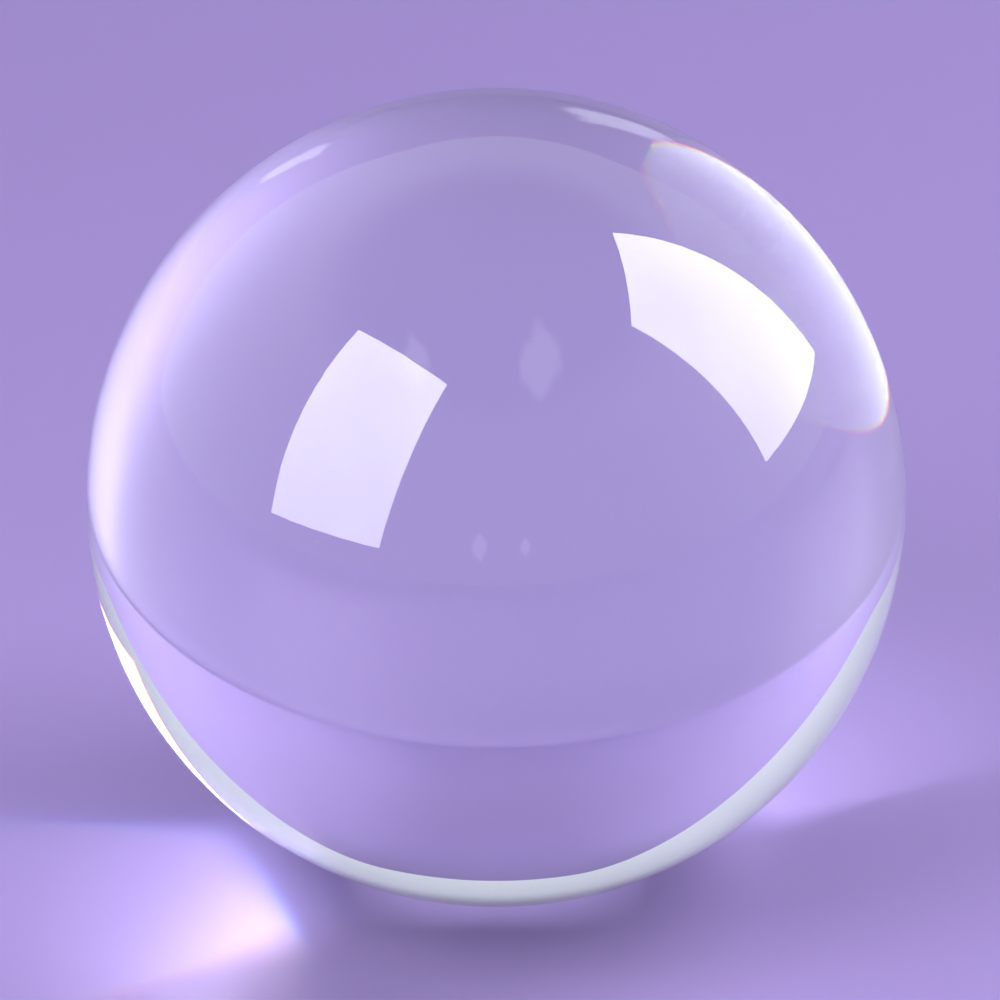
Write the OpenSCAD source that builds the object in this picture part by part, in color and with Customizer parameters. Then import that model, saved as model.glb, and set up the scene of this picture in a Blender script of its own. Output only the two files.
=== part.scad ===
// Solid crystal ball for a contact juggler or a fortune teller's table.
// One piece of clear optical glass, ground and polished to a true sphere.
// +Z is up. The origin is the lowest point of the ball, where it touches
// what it rests on, so the centre of the ball is half a diameter above it.
// Sizes are in millimetres.

/* [Ball] */
// Diameter of the polished ball
ball_d = 100; // [50:1:200]

/* [Display] */
// Number of fragments round the ball when it is drawn
ball_facets = 180; // [48:4:360]

/* [Hidden] */

// The glass is colourless; a little blue and some alpha stand for it here
glass_tint = [0.86, 0.90, 0.98, 0.45];

// Height of the ball's centre, with its lowest point at the origin
centre_z = ball_d / 2;

// The glass ball itself: solid, with no bore, flat, seam or hollow
module ball() {
    color(glass_tint)
        translate([0, 0, centre_z])
            sphere(d = ball_d, $fn = ball_facets);
}

ball();
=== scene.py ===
import math

import bpy
from mathutils import Matrix, Vector


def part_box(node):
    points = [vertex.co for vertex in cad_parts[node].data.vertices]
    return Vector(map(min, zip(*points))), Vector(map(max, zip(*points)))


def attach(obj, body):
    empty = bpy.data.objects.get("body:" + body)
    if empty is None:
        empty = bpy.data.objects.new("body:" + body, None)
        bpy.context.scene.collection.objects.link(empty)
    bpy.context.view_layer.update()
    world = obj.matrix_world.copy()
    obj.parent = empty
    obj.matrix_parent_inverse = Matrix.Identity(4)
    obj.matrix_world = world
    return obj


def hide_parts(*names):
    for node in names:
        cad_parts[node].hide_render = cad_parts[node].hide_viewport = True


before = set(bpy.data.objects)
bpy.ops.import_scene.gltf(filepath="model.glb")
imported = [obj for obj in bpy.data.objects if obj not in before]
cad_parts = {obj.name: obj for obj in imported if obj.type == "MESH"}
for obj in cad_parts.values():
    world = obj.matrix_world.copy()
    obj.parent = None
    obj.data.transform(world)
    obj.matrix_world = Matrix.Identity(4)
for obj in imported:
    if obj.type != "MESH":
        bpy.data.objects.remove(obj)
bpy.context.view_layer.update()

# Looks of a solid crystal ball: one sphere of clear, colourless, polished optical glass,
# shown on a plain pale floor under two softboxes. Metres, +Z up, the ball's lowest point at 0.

# ---- the ball's sizes --------------------------------------------------------------

# The ball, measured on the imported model
BALL_LOW, BALL_HIGH = (Vector(corner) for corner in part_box("ball"))
BALL_D = BALL_HIGH.z - BALL_LOW.z
BALL_R = BALL_D / 2
BALL_CENTRE = Vector((0.0, 0.0, BALL_LOW.z + BALL_R))
# Cells along one edge of the cube that the ball's surface is divided by
BALL_CELLS = 120

# Optical crown glass: refractive index for green light, and how far other colours are from it
CROWN_IOR = 1.5200
CROWN_SPREAD = {"red": -0.0055, "green": 0.0, "blue": 0.0070}
# Colour that light keeps as it crosses the glass, and how strongly it is tinted per metre
GLASS_TINT = (0.94, 0.98, 1.0, 1.0)
GLASS_DENSITY = 5.0

# ---- the camera --------------------------------------------------------------------

# A long lens, looking down on the ball
VIEW_ELEVATION = math.radians(27.0)
VIEW_DISTANCE = 22.0 * BALL_R
# Share of the picture's width that the ball fills
BALL_SHARE = 0.82
# The ball sits a touch left of and above the middle of the view
AIM_SIDE = 0.0100 * BALL_R
AIM_DOWN = 0.0073 * BALL_R
SENSOR_MM = 36.0
VIEW_NEAR = 0.01
VIEW_FAR = 50.0

# ---- the lamps ---------------------------------------------------------------------

LAMP_COLOUR = (0.93, 0.96, 1.0)
# Lamps that stand for one cloth are this far apart in depth
LAMP_GAP = 0.003

# Softboxes on stands: width and height of the lit cloth
SOFTBOX_SIZE = (0.60, 0.90)
# Power that lights matt surfaces, and power seen in gloss and through glass
SOFTBOX_WATTS = 6.5
GLOW_WATTS = 19.0
# Brightness of the cloth at its two ends, and depth, fineness and detail of the folds in it
CLOTH_ENDS = (0.82, 1.12)
CLOTH_FOLDS = 0.12
CLOTH_FOLD_SCALE = 2.2
FOLD_DETAIL = 2.0
# place: the middle of the cloth. target: what it faces. roll: its turn about its own axis.
# spread_shift: its sideways and upward move per unit of refractive index, which stands for
# the spread of colours in light that is reflected twice inside the ball.
# floor_share: how much of its glow the ball gathers on the floor.
SOFTBOXES = {
    "softbox_left": {
        "place": (-0.603, -0.527, 0.617),
        "target": (0.093, 0.007, 0.137),
        "roll": math.radians(3.4),
        "spread_shift": (0.0, 0.0),
        "floor_share": 0.18,
    },
    "softbox_right": {
        "place": (0.724, 0.163, 0.651),
        "target": (-0.161, -0.200, 0.358),
        "roll": math.radians(-4.5),
        "spread_shift": (-2.2, 1.32),
        "floor_share": 0.16,
    },
}

# Wash lights on the cove: place, target and power of each, and the side and spread of all
WASHES = {
    "wash_left": ((-0.6, 0.6, 1.2), (-2.2, 1.7, 0.4), 18.0),
    "wash_right": ((0.6, 0.6, 1.2), (2.2, 1.7, 0.4), 26.0),
    "wash_middle": ((0.0, 0.3, 1.6), (0.0, 2.7, 0.3), 16.0),
    "wash_far_left": ((-0.8, -0.2, 1.5), (-2.6, 0.0, 0.0), 14.0),
    "wash_far_right": ((0.8, -0.2, 1.5), (2.6, 0.0, 0.0), 14.0),
}
WASH_SIDE = 0.5
WASH_SPREAD = math.radians(120.0)

# Wide light above: its height over the ball, side and power
TOP_HEIGHT = 2.5
TOP_SIDE = 1.2
TOP_WATTS = 7.0

# Small pale panels in front of the ball: way round, width and height of each
PANELS = {
    "panel_left": (math.radians(-4.5), 0.080, 0.140),
    "panel_right": (math.radians(8.0), 0.052, 0.096),
}
# Their radiance, their height seen from the ball, and their distance
PANEL_GLOW = 1.6
PANEL_ELEVATION = math.radians(13.5)
PANEL_DISTANCE = 1.0
# Where a panel has faded out, as a share of its size from its middle, and over how much it
# fades, then how uneven that edge is, and how fine its folds are
PANEL_EDGE = 0.20
PANEL_SOFT = 0.22
PANEL_UNEVEN = 0.60
PANEL_FOLD_SCALE = 2.6

# ---- the room ----------------------------------------------------------------------

ROOM_COLOUR = (0.86, 0.92, 1.0, 1.0)
# Glow of the walls above the cove and of the ceiling, and where one turns to the other
WALL_GLOW = 0.88
CEILING_GLOW = 0.12
WALL_TOP = math.radians(42.0)
CEILING_EDGE = math.radians(60.0)
# How bright the room is in front of the ball, as a share of the rest of it, and how far
# forward that is so: from the whole of it to none, as parts of a unit direction
FRONT_SHARE = 0.44
FRONT_FULL = -0.7
FRONT_NONE = 0.3
# What matt surfaces get from the whole room instead
FILL_GLOW = 0.2

# Satin pale lilac paper
FLOOR_COLOUR = (0.46, 0.34, 0.71, 1.0)
FLOOR_METALLIC = 0.12
FLOOR_ROUGHNESS = 0.42
FLOOR_SPECULAR = 0.4
FLOOR_SHEEN_COLOUR = (0.80, 0.66, 1.0, 1.0)

# Round cove: radius of its level floor, rings of points on it, and radius of the curve up
COVE_FLOOR_R = 1.8
COVE_RINGS = (0.1, 0.3, 0.7, 1.3)
COVE_CURVE_R = 1.2
COVE_STEPS = 24
COVE_AROUND = 192
# Heights, seen from the ball, of the backdrop's rim and of the lip round the rest
COVE_RIM_ELEVATION = math.radians(32.5)
COVE_LIP_ELEVATION = math.radians(2.2)
# Where the backdrop's middle is, counted from +X towards +Y, and how far to each side of it
# the rim stays level and then comes down to the lip
BACKDROP_MIDDLE = math.radians(87.0)
BACKDROP_FLAT = math.radians(15.0)
BACKDROP_END = math.radians(66.0)


# ---- nodes and poses ---------------------------------------------------------------


def node_at(tree, kind, x, y, label=""):
    """Adds a node at a place in its tree, so that the tree can be read."""
    node = tree.nodes.new(kind)
    node.location = (x, y)
    node.label = label
    return node


def maths(tree, operation, x, y, label=""):
    """Adds a node that does one operation on numbers."""
    node = node_at(tree, "ShaderNodeMath", x, y, label)
    node.operation = operation
    return node


def vector_maths(tree, operation, x, y, label=""):
    """Adds a node that does one operation on vectors."""
    node = node_at(tree, "ShaderNodeVectorMath", x, y, label)
    node.operation = operation
    return node


def ranged(tree, x, y, label, to, given=(0.0, 1.0), kind="LINEAR"):
    """Adds a node that turns the range given into the range to."""
    node = node_at(tree, "ShaderNodeMapRange", x, y, label)
    node.interpolation_type = kind
    node.inputs["From Min"].default_value = given[0]
    node.inputs["From Max"].default_value = given[1]
    node.inputs["To Min"].default_value = to[0]
    node.inputs["To Max"].default_value = to[1]
    return node


def folds_at(tree, x, y, label, scale):
    """Adds a node for soft unevenness, as in loosely stretched cloth."""
    node = node_at(tree, "ShaderNodeTexNoise", x, y, label)
    node.inputs["Scale"].default_value = scale
    node.inputs["Detail"].default_value = FOLD_DETAIL
    return node


def aimed(place, target):
    """A pose at place that faces target."""
    facing = (Vector(target) - Vector(place)).to_track_quat("-Z", "Y").to_matrix().to_4x4()
    return Matrix.Translation(place) @ facing


# ---- the ball ----------------------------------------------------------------------


def add_input(tree, name, kind, value):
    """Adds a named input to a geometry tree and returns its socket's identifier."""
    socket = tree.interface.new_socket(name=name, in_out="INPUT", socket_type=kind)
    if value is not None:
        socket.default_value = value
    return socket.identifier


def round_ball_tree():
    """A geometry tree that grinds a gridded cube to a true sphere with even cells."""
    tree = bpy.data.node_groups.new("grind_round", "GeometryNodeTree")
    tree.interface.new_socket(name="Geometry", in_out="OUTPUT", socket_type="NodeSocketGeometry")
    ids = {
        "Radius": add_input(tree, "Radius", "NodeSocketFloat", 0.05),
        "Centre": add_input(tree, "Centre", "NodeSocketVector", (0.0, 0.0, 0.05)),
        "Cells": add_input(tree, "Cells", "NodeSocketInt", 32),
        "Finish": add_input(tree, "Finish", "NodeSocketMaterial", None),
    }
    given = node_at(tree, "NodeGroupInput", -900, 0)
    rows = maths(tree, "ADD", -700, -200, "cells to points")
    rows.inputs[1].default_value = 1.0
    cube = node_at(tree, "GeometryNodeMeshCube", -500, 0, "rough cube")
    cube.inputs["Size"].default_value = (2.0, 2.0, 2.0)
    place = node_at(tree, "GeometryNodeInputPosition", -900, -400)
    angles = vector_maths(tree, "SCALE", -700, -400, "to angles")
    angles.inputs["Scale"].default_value = math.pi / 4
    even = vector_maths(tree, "TANGENT", -500, -400, "even angles")
    onto = vector_maths(tree, "NORMALIZE", -300, -400, "onto unit sphere")
    size = vector_maths(tree, "SCALE", -100, -400, "to the ball's radius")
    lift = vector_maths(tree, "ADD", 100, -400, "to the ball's place")
    grind = node_at(tree, "GeometryNodeSetPosition", 300, 0, "grind")
    polish = node_at(tree, "GeometryNodeSetShadeSmooth", 500, 0, "polish")
    real = node_at(tree, "GeometryNodeRealizeInstances", 700, 0)
    finish = node_at(tree, "GeometryNodeSetMaterial", 900, 0)
    out = node_at(tree, "NodeGroupOutput", 1100, 0)

    link = tree.links.new
    link(given.outputs["Cells"], rows.inputs[0])
    for side in ("Vertices X", "Vertices Y", "Vertices Z"):
        link(rows.outputs[0], cube.inputs[side])
    link(place.outputs[0], angles.inputs[0])
    link(angles.outputs[0], even.inputs[0])
    link(even.outputs[0], onto.inputs[0])
    link(onto.outputs[0], size.inputs[0])
    link(given.outputs["Radius"], size.inputs["Scale"])
    link(size.outputs[0], lift.inputs[0])
    link(given.outputs["Centre"], lift.inputs[1])
    link(cube.outputs["Mesh"], grind.inputs["Geometry"])
    link(lift.outputs[0], grind.inputs["Position"])
    link(grind.outputs[0], polish.inputs["Geometry"])
    link(polish.outputs[0], real.inputs[0])
    link(real.outputs[0], finish.inputs["Geometry"])
    link(given.outputs["Finish"], finish.inputs["Material"])
    link(finish.outputs[0], out.inputs[0])
    return tree, ids


def made_mesh(name, tree, values):
    """Runs a geometry tree with the values given by socket identifier, and keeps its mesh."""
    holder = bpy.data.objects.new(name + "_holder", bpy.data.meshes.new(name + "_seed"))
    bpy.context.scene.collection.objects.link(holder)
    modifier = holder.modifiers.new("make", "NODES")
    modifier.node_group = tree
    for identifier, value in values.items():
        modifier[identifier] = value
    graph = bpy.context.evaluated_depsgraph_get()
    mesh = bpy.data.meshes.new_from_object(holder.evaluated_get(graph), depsgraph=graph)
    mesh.name = name
    bpy.data.objects.remove(holder)
    piece = bpy.data.objects.new(name, mesh)
    bpy.context.scene.collection.objects.link(piece)
    return piece


def crystal_glass():
    """Clear crown glass with a mirror polish, and a breath of cool tint in its depth."""
    mat = bpy.data.materials.new("crystal_glass")
    mat.use_nodes = True
    body = mat.node_tree.nodes["Principled BSDF"]
    body.inputs["Base Color"].default_value = (1.0, 1.0, 1.0, 1.0)
    body.inputs["Roughness"].default_value = 0.0
    body.inputs["IOR"].default_value = CROWN_IOR
    body.inputs["Transmission Weight"].default_value = 1.0
    depth = node_at(mat.node_tree, "ShaderNodeVolumeAbsorption", 0, -500, "tint by depth")
    depth.inputs["Color"].default_value = GLASS_TINT
    depth.inputs["Density"].default_value = GLASS_DENSITY
    sink = mat.node_tree.nodes["Material Output"].inputs["Volume"]
    mat.node_tree.links.new(depth.outputs[0], sink)
    return mat


def crystal_ball():
    """The solid ball, as one closed mesh in place of the CAD model's coarser one."""
    tree, ids = round_ball_tree()
    values = {
        ids["Radius"]: BALL_R,
        ids["Centre"]: tuple(BALL_CENTRE),
        ids["Cells"]: BALL_CELLS,
        ids["Finish"]: crystal_glass(),
    }
    ball = made_mesh("crystal_ball", tree, values)
    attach(ball, "root")
    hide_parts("ball")


# ---- the cove ----------------------------------------------------------------------


def pale_floor():
    """Pale lilac paper with a satin surface, whose sheen has the paper's own tint."""
    mat = bpy.data.materials.new("pale_floor")
    mat.use_nodes = True
    body = mat.node_tree.nodes["Principled BSDF"]
    body.inputs["Base Color"].default_value = FLOOR_COLOUR
    body.inputs["Metallic"].default_value = FLOOR_METALLIC
    body.inputs["Roughness"].default_value = FLOOR_ROUGHNESS
    body.inputs["Specular IOR Level"].default_value = FLOOR_SPECULAR
    body.inputs["Specular Tint"].default_value = FLOOR_SHEEN_COLOUR
    return mat


def eased(share):
    """A share, held between 0 and 1, that leaves one and reaches the other gently."""
    share = min(max(share, 0.0), 1.0)
    return share * share * (3.0 - 2.0 * share)


def cove_outline(rim):
    """Reach and rise of the cove's points, from near its middle to a rim at height rim."""
    outline = [(ring, 0.0) for ring in (*COVE_RINGS, COVE_FLOOR_R)]
    for k in range(COVE_STEPS):
        rise = rim * ((k + 1) / COVE_STEPS) ** 2
        turn = math.acos(max(1.0 - rise / COVE_CURVE_R, 0.0))
        reach = COVE_FLOOR_R + COVE_CURVE_R * math.sin(turn)
        outline.append((reach, rise))
    return outline


def rim_height(turn):
    """Height of the cove's rim: a backdrop behind the ball that slopes to a low lip."""
    off_middle = abs(turn - BACKDROP_MIDDLE)
    share = eased((BACKDROP_END - off_middle) / (BACKDROP_END - BACKDROP_FLAT))
    elevation = COVE_LIP_ELEVATION + (COVE_RIM_ELEVATION - COVE_LIP_ELEVATION) * share
    return BALL_CENTRE.z + (COVE_FLOOR_R + COVE_CURVE_R) * math.tan(elevation)


def studio_cove():
    """A round floor that sweeps up to a backdrop behind the ball."""
    points = [Vector((0.0, 0.0, 0.0))]
    for k in range(COVE_AROUND):
        turn = 2.0 * math.pi * k / COVE_AROUND - math.pi / 2
        for reach, rise in cove_outline(rim_height(turn)):
            points.append(Vector((reach * math.cos(turn), reach * math.sin(turn), rise)))
    rings = (len(points) - 1) // COVE_AROUND
    faces = []
    for k in range(COVE_AROUND):
        near = 1 + rings * k
        far = 1 + rings * ((k + 1) % COVE_AROUND)
        faces.append((0, near, far))
        for ring in range(rings - 1):
            faces.append((near + ring, near + ring + 1, far + ring + 1, far + ring))
    mesh = bpy.data.meshes.new("studio_cove")
    mesh.from_pydata(points, [], faces)
    mesh.polygons.foreach_set("use_smooth", [True] * len(faces))
    mesh.materials.append(pale_floor())
    cove = bpy.data.objects.new("studio_cove", mesh)
    bpy.context.scene.collection.objects.link(cove)


# ---- the lamps ---------------------------------------------------------------------


def flat_lamp(name, pose, size, watts, colour, seen_by):
    """A flat rectangular lamp that only the kinds of ray in seen_by meet."""
    lamp = bpy.data.lights.new(name, "AREA")
    lamp.shape = "RECTANGLE"
    lamp.size, lamp.size_y = size
    lamp.energy = watts
    lamp.color = colour
    panel = bpy.data.objects.new(name, lamp)
    panel.matrix_world = pose
    panel.visible_camera = False
    panel.visible_diffuse = "matt" in seen_by
    panel.visible_glossy = "gloss" in seen_by
    panel.visible_transmission = "glass" in seen_by
    bpy.context.scene.collection.objects.link(panel)
    return lamp


def glow_nodes(lamp):
    """Gives a lamp nodes, and returns their tree and the socket for its strength."""
    lamp.use_nodes = True
    return lamp.node_tree, lamp.node_tree.nodes["Emission"].inputs["Strength"]


def uneven_cloth(lamp):
    """Makes a softbox's cloth a little brighter at one end, with soft unevenness over it."""
    tree, strength = glow_nodes(lamp)
    where = node_at(tree, "ShaderNodeNewGeometry", -1000, 0)
    parts = node_at(tree, "ShaderNodeSeparateXYZ", -800, 0)
    slope = ranged(tree, -600, 0, "brighter end", CLOTH_ENDS)
    folds = folds_at(tree, -800, -300, "soft folds", CLOTH_FOLD_SCALE)
    depth = (1.0 - CLOTH_FOLDS, 1.0 + CLOTH_FOLDS)
    soft = ranged(tree, -600, -300, "how deep they are", depth)
    both = maths(tree, "MULTIPLY", -400, 0)
    link = tree.links.new
    link(where.outputs["Parametric"], parts.inputs[0])
    link(where.outputs["Parametric"], folds.inputs["Vector"])
    link(parts.outputs["Y"], slope.inputs["Value"])
    link(folds.outputs[0], soft.inputs["Value"])
    link(slope.outputs["Result"], both.inputs[0])
    link(soft.outputs["Result"], both.inputs[1])
    link(both.outputs[0], strength)


def gentle_on_floor(lamp, share):
    """Makes a lamp weaker, by share, where its light reaches the floor, but not in the glass."""
    tree, strength = glow_nodes(lamp)
    path = node_at(tree, "ShaderNodeLightPath", -600, 0)
    less = ranged(tree, -400, 0, "weaker on the floor", (1.0, share))
    tree.links.new(path.outputs["Diffuse Depth"], less.inputs["Value"])
    tree.links.new(less.outputs["Result"], strength)


def soft_edged(lamp):
    """Fades a lamp out towards its edges, unevenly, as loose pale cloth would look."""
    tree, strength = glow_nodes(lamp)
    where = node_at(tree, "ShaderNodeNewGeometry", -1200, 0)
    off_middle = vector_maths(tree, "SUBTRACT", -1000, 0, "off the middle")
    off_middle.inputs[1].default_value = (0.5, 0.5, 0.0)
    far = vector_maths(tree, "LENGTH", -800, 0, "how far")
    folds = folds_at(tree, -800, -300, "loose folds", PANEL_FOLD_SCALE)
    edge = maths(tree, "MULTIPLY_ADD", -600, 0, "uneven edge")
    edge.inputs[1].default_value = -PANEL_UNEVEN
    ends = (PANEL_EDGE, PANEL_EDGE - PANEL_SOFT)
    fade = ranged(tree, -400, 0, "fade to the edge", (0.0, 1.0), ends, "SMOOTHSTEP")
    link = tree.links.new
    link(where.outputs["Parametric"], off_middle.inputs[0])
    link(where.outputs["Parametric"], folds.inputs["Vector"])
    link(off_middle.outputs[0], far.inputs[0])
    link(folds.outputs[0], edge.inputs[0])
    link(far.outputs["Value"], edge.inputs[2])
    link(edge.outputs[0], fade.inputs["Value"])
    link(fade.outputs["Result"], strength)


def softbox(name, place, target, roll, spread_shift, floor_share):
    """A softbox at place, facing target, turned by roll about its own axis.

    Five lamps stand for its cloth, a few millimetres apart, since a ray sees only one of two
    lamps at the same depth. One lights matt surfaces. One shows in gloss, brighter, so that a
    pale floor doesn't drown the ball's highlights. Three show through the glass, one to a
    colour, each moved by spread_shift as the glass would bend that colour away from green.
    """
    pose = aimed(place, target) @ Matrix.Rotation(roll, 4, "Z")
    flat_lamp(name + "_light", pose, SOFTBOX_SIZE, SOFTBOX_WATTS, LAMP_COLOUR, ("matt",))
    nearer = pose @ Matrix.Translation((0.0, 0.0, -LAMP_GAP))
    gloss = flat_lamp(name + "_gloss", nearer, SOFTBOX_SIZE, GLOW_WATTS, LAMP_COLOUR, ("gloss",))
    uneven_cloth(gloss)
    for k, (colour, bend) in enumerate(CROWN_SPREAD.items()):
        shift = Vector((spread_shift[0] * bend, spread_shift[1] * bend, -LAMP_GAP * (k + 2)))
        moved = pose @ Matrix.Translation(shift)
        light = [LAMP_COLOUR[k] if k == channel else 0.0 for channel in range(3)]
        glass = flat_lamp(name + "_" + colour, moved, SOFTBOX_SIZE, GLOW_WATTS, light, ("glass",))
        gentle_on_floor(glass, floor_share)


def wash(name, place, target, watts):
    """A wash light for one side of the cove, which only matt surfaces see."""
    size = (WASH_SIDE, WASH_SIDE)
    lamp = flat_lamp(name, aimed(place, target), size, watts, LAMP_COLOUR, ("matt",))
    lamp.spread = WASH_SPREAD


def top_light():
    """A wide weak light straight above, which keeps the floor under the ball from going dark."""
    pose = Matrix.Translation(BALL_CENTRE + Vector((0.0, 0.0, TOP_HEIGHT)))
    size = (TOP_SIDE, TOP_SIDE)
    flat_lamp("top_light", pose, size, TOP_WATTS, LAMP_COLOUR, ("matt", "glass"))


def front_panel(name, azimuth, width, height):
    """A small pale panel in front of the ball, seen only as faint marks in and through it."""
    across = math.cos(PANEL_ELEVATION)
    away = Vector((math.sin(azimuth) * across, -math.cos(azimuth) * across,
                   math.sin(PANEL_ELEVATION)))
    pose = aimed(BALL_CENTRE + away * PANEL_DISTANCE, BALL_CENTRE)
    watts = PANEL_GLOW * math.pi * width * height
    panel = flat_lamp(name, pose, (width, height), watts, LAMP_COLOUR, ("gloss", "glass"))
    soft_edged(panel)


# ---- the room and the camera -------------------------------------------------------


def white_room():
    """Pale walls above the cove that fade to a dimmer ceiling, and are dimmer in front.

    Matt surfaces get an even, weaker fill instead, so that the ball's shadow keeps its depth.
    """
    world = bpy.data.worlds.new("white_room")
    bpy.context.scene.world = world
    world.use_nodes = True
    tree = world.node_tree
    tree.nodes.clear()
    out = node_at(tree, "ShaderNodeOutputWorld", 600, 0)
    light = node_at(tree, "ShaderNodeBackground", 400, 0)
    light.inputs["Color"].default_value = ROOM_COLOUR
    where = node_at(tree, "ShaderNodeTexCoord", -600, 0)
    parts = node_at(tree, "ShaderNodeSeparateXYZ", -400, 0)
    heights = (math.sin(WALL_TOP), math.sin(CEILING_EDGE))
    glows = (WALL_GLOW, CEILING_GLOW)
    fade = ranged(tree, -200, 0, "walls to ceiling", glows, heights, "SMOOTHSTEP")
    depths = (FRONT_FULL, FRONT_NONE)
    front = ranged(tree, -200, -300, "dimmer in front", (FRONT_SHARE, 1.0), depths, "SMOOTHSTEP")
    room = maths(tree, "MULTIPLY", -50, 0)
    path = node_at(tree, "ShaderNodeLightPath", -400, -600)
    fill = ranged(tree, 150, 0, "even fill on matt surfaces", (0.0, FILL_GLOW))
    link = tree.links.new
    link(where.outputs["Generated"], parts.inputs[0])
    link(parts.outputs["Z"], fade.inputs["Value"])
    link(parts.outputs["Y"], front.inputs["Value"])
    link(fade.outputs["Result"], room.inputs[0])
    link(front.outputs["Result"], room.inputs[1])
    link(path.outputs["Diffuse Depth"], fill.inputs["Value"])
    link(room.outputs[0], fill.inputs["To Min"])
    link(fill.outputs["Result"], light.inputs["Strength"])
    link(light.outputs[0], out.inputs["Surface"])


def camera():
    """A long lens that looks down on the ball from in front."""
    toward = Vector((0.0, -math.cos(VIEW_ELEVATION), math.sin(VIEW_ELEVATION)))
    half_view = math.tan(math.asin(BALL_R / VIEW_DISTANCE)) / BALL_SHARE
    lens = bpy.data.cameras.new("camera")
    lens.sensor_width = SENSOR_MM
    lens.lens = SENSOR_MM / 2.0 / half_view
    lens.clip_start = VIEW_NEAR
    lens.clip_end = VIEW_FAR
    view = bpy.data.objects.new("camera", lens)
    place = BALL_CENTRE + toward * VIEW_DISTANCE
    view.matrix_world = aimed(place, BALL_CENTRE + Vector((AIM_SIDE, 0.0, -AIM_DOWN)))
    bpy.context.scene.collection.objects.link(view)
    bpy.context.scene.camera = view


def tone():
    """Plain display tone, so that whites stay crisp."""
    settings = bpy.context.scene.view_settings
    settings.view_transform = "Standard"
    settings.look = "None"
    settings.exposure = 0.0


def crisp_caustics():
    """Keeps the light that the ball throws on the floor as sharp as the lamps make it."""
    bpy.context.scene.cycles.blur_glossy = 0.0


camera()
tone()
crisp_caustics()
white_room()
studio_cove()
for box_name, box in SOFTBOXES.items():
    softbox(box_name, **box)
for wash_name, (wash_place, wash_target, wash_watts) in WASHES.items():
    wash(wash_name, wash_place, wash_target, wash_watts)
top_light()
for panel_name, (panel_azimuth, panel_width, panel_height) in PANELS.items():
    front_panel(panel_name, panel_azimuth, panel_width, panel_height)
crystal_ball()
